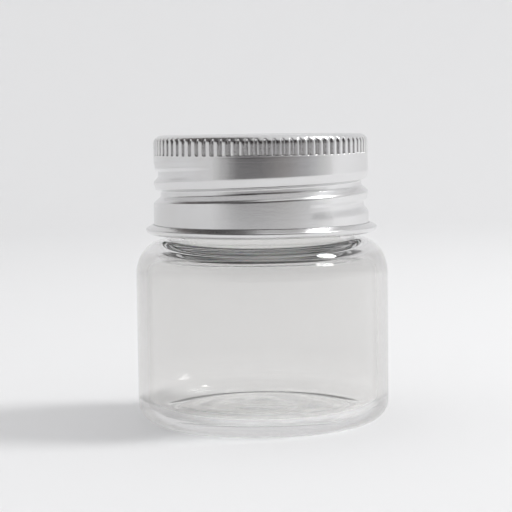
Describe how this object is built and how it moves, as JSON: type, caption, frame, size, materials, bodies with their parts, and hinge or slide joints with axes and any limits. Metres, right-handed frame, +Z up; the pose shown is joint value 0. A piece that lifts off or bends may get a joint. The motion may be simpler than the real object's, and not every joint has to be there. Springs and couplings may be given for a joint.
{
  "type": "screw-top glass sample vial",
  "caption": "Small clear glass sample vial with a rounded shoulder and a knurled aluminium screw cap that unscrews and lifts off its threaded neck.",
  "frame": {"origin": "centre of the contact ring that the vial stands on, at the height of that surface", "axes": "+Z up along the vial's axis; the cap's rolled thread starts on the +X side"},
  "size_m": [0.022, 0.022, 0.025],
  "materials": {
    "clear_glass": "polished",
    "satin_aluminium": "satin",
    "foam_liner": "matte"
  },
  "bodies": {
    "vial": {"glass_vial": "clear_glass"},
    "liner": {"cap_liner": "foam_liner"},
    "cap": {"screw_cap": "satin_aluminium"}
  },
  "joints": [
    {"name": "liner_lift", "type": "slide", "parent": "vial", "child": "liner", "axis": [0, 0, 1], "range_m": [0, 0.00875]},
    {"name": "cap_turn", "type": "hinge", "parent": "liner", "child": "cap", "pos_m": [0, 0, 0.02], "axis": [0, 0, 1], "range_deg": [0, 1800]}
  ],
  "couplings": [
    {"joint": "cap_turn", "follows": "liner_lift", "rad_per_m": 3590.4}
  ]
}
